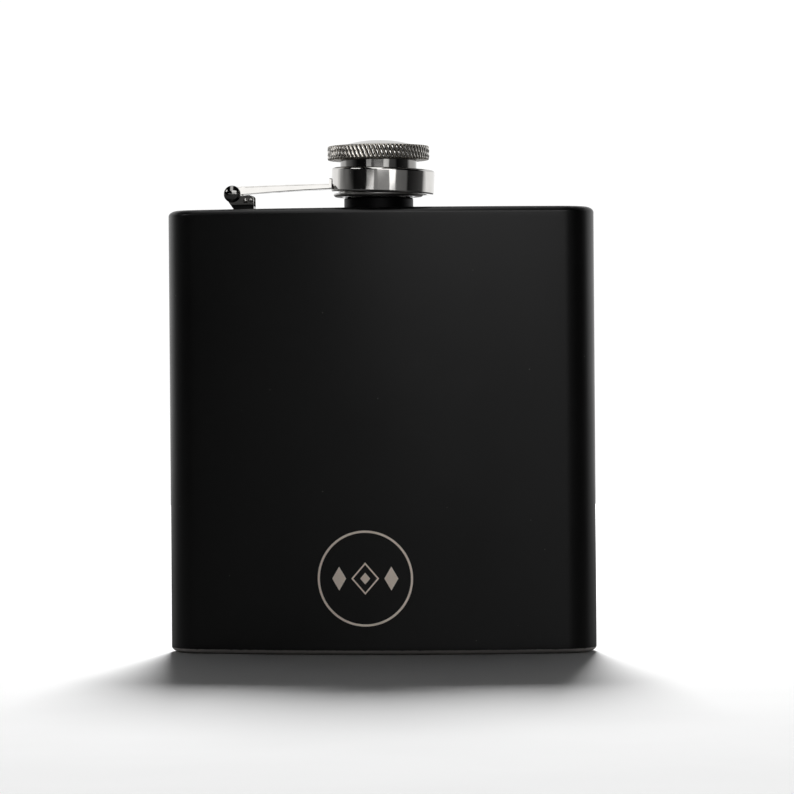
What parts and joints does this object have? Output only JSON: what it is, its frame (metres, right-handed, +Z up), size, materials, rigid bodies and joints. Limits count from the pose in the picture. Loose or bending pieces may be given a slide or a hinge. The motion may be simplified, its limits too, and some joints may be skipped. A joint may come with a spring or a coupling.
{
  "type": "hip flask",
  "caption": "Curved pocket hip flask with a coated can, a threaded spout and a captive screw cap on a hinged arm.",
  "frame": {"origin": "middle of the base, where the flask stands", "axes": "+Z up to the cap, the convex face towards -Y, the cap's hinge towards -X"},
  "size_m": [0.0954, 0.0259, 0.1142],
  "materials": {
    "can_coating": "matte powder coat, fine and even",
    "engraving": "bare steel under a laser-cut mark",
    "spout_steel": "turned, bare on the thread and coated on the collar",
    "hinge_plating": "polished nickel plate",
    "cap_plating": "polished nickel plate",
    "knurl_plating": "diamond-knurled nickel plate",
    "liner_rubber": "satin food-grade silicone"
  },
  "bodies": {
    "flask": {"body_sleeve": "can_coating", "top_plate": "can_coating", "base_plate": "can_coating", "neck_spout": "spout_steel", "hinge_bracket": "hinge_plating", "hinge_pin": "hinge_plating"},
    "arm": {"cap_arm": "cap_plating", "cap_ring": "cap_plating"},
    "cap": {"cap_sleeve": "cap_plating", "retaining_flange": "cap_plating", "seal_liner": "liner_rubber", "knob_shell": "knurl_plating", "knob_dome": "cap_plating"}
  },
  "joints": [
    {"name": "arm_swing", "type": "hinge", "parent": "flask", "child": "arm", "pos_m": [-0.03265, -0.00142, 0.1025], "axis": [0, -1, 0], "range_deg": [0, 180]},
    {"name": "cap_turn", "type": "hinge", "parent": "arm", "child": "cap", "pos_m": [0, -0.00142, 0.105], "axis": [0, 0, 1], "range_deg": [0, 900]}
  ]
}
